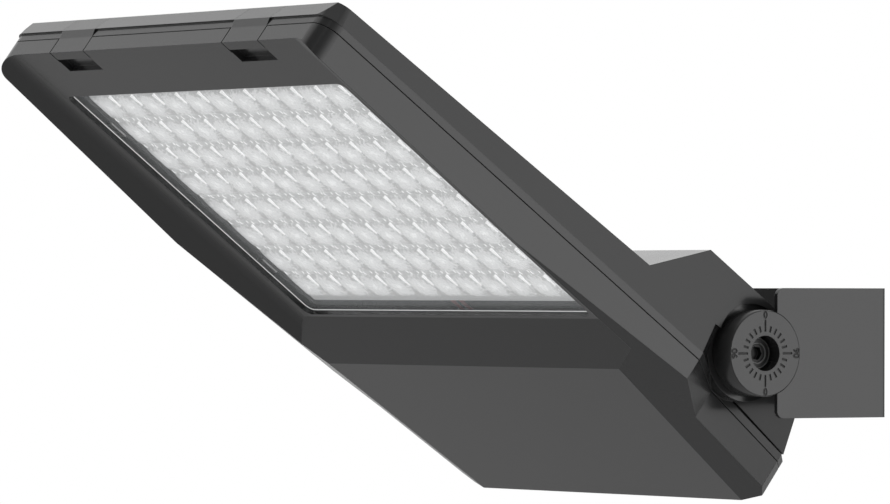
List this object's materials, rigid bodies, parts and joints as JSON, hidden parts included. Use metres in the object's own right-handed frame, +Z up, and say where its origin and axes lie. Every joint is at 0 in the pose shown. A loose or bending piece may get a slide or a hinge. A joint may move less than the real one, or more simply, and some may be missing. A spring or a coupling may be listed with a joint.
{
  "type": "led floodlight",
  "caption": "Flat LED floodlight head with a glass door and latches, on a wide U bracket with a numbered tilt joint.",
  "frame": {"origin": "centre of the cable hole, on the back face of the bracket's web that lies against the wall or pole plate", "axes": "+X away from the wall, towards the tip of the lamp head; +Y towards the near dial; +Z up"},
  "size_m": [0.4315, 0.426, 0.3133],
  "materials": {
    "grey_casting": "satin powder coat",
    "bracket_steel": "satin powder coat",
    "latch_steel": "brushed, painted grey outside",
    "fastener": "zinc plated",
    "seal_rubber": "matt",
    "clear_glass": "tempered, clear",
    "lens_plastic": "clear acrylic",
    "board": "white solder mask",
    "chip": "yellow phosphor",
    "driver_case": "plain",
    "black_plastic": "fine grain",
    "lead_jacket": "smooth"
  },
  "bodies": {
    "bracket": {"yoke_bracket": "bracket_steel", "dial_hub_near": "grey_casting", "dial_hub_far": "grey_casting"},
    "head": {"upper_housing": "grey_casting", "led_board_front_near": "board", "led_board_front_far": "board", "led_board_rear_near": "board", "led_board_rear_far": "board", "lens_plate_front_near": "lens_plastic", "lens_plate_front_far": "lens_plastic", "lens_plate_rear_near": "lens_plastic", "lens_plate_rear_far": "lens_plastic", "led_chips": "chip", "driver_tray": "driver_case", "driver_tray_screws": "fastener", "led_driver": "driver_case", "surge_protector": "black_plastic", "terminal_block": "black_plastic", "earth_screw": "fastener", "light_leads": "lead_jacket", "mains_leads": "lead_jacket", "gland_body": "black_plastic", "gland_seal": "seal_rubber", "gland_cap": "black_plastic", "gland_nut": "black_plastic", "breather_vent": "black_plastic", "friction_washer_near": "fastener", "friction_washer_far": "fastener", "pivot_bolt_near": "fastener", "pivot_bolt_far": "fastener", "latch_pin_near": "fastener", "latch_pin_far": "fastener", "hinge_pin_near": "fastener", "hinge_pin_far": "fastener"},
    "door": {"door_frame": "grey_casting", "door_seal": "seal_rubber", "glass": "clear_glass", "glass_gasket": "seal_rubber", "glass_clips": "fastener", "glass_clip_screws": "fastener"},
    "near_latch": {"latch_near": "latch_steel"},
    "far_latch": {"latch_far": "latch_steel"}
  },
  "joints": [
    {"name": "head_tilt", "type": "hinge", "parent": "bracket", "child": "head", "pos_m": [0.099, 0, 0], "axis": [0, -1, 0], "range_deg": [-37.1, 52.9]},
    {"name": "door_swing", "type": "hinge", "parent": "head", "child": "door", "pos_m": [0.04975, 0, -0.07762], "axis": [0, 1, 0], "range_deg": [0, 55]},
    {"name": "near_latch_swing", "type": "hinge", "parent": "head", "child": "near_latch", "pos_m": [0.40963, 0.1065, 0.21161], "axis": [0, -1, 0], "range_deg": [0, 80]},
    {"name": "far_latch_swing", "type": "hinge", "parent": "head", "child": "far_latch", "pos_m": [0.40963, -0.1065, 0.21161], "axis": [0, -1, 0], "range_deg": [0, 80]}
  ]
}
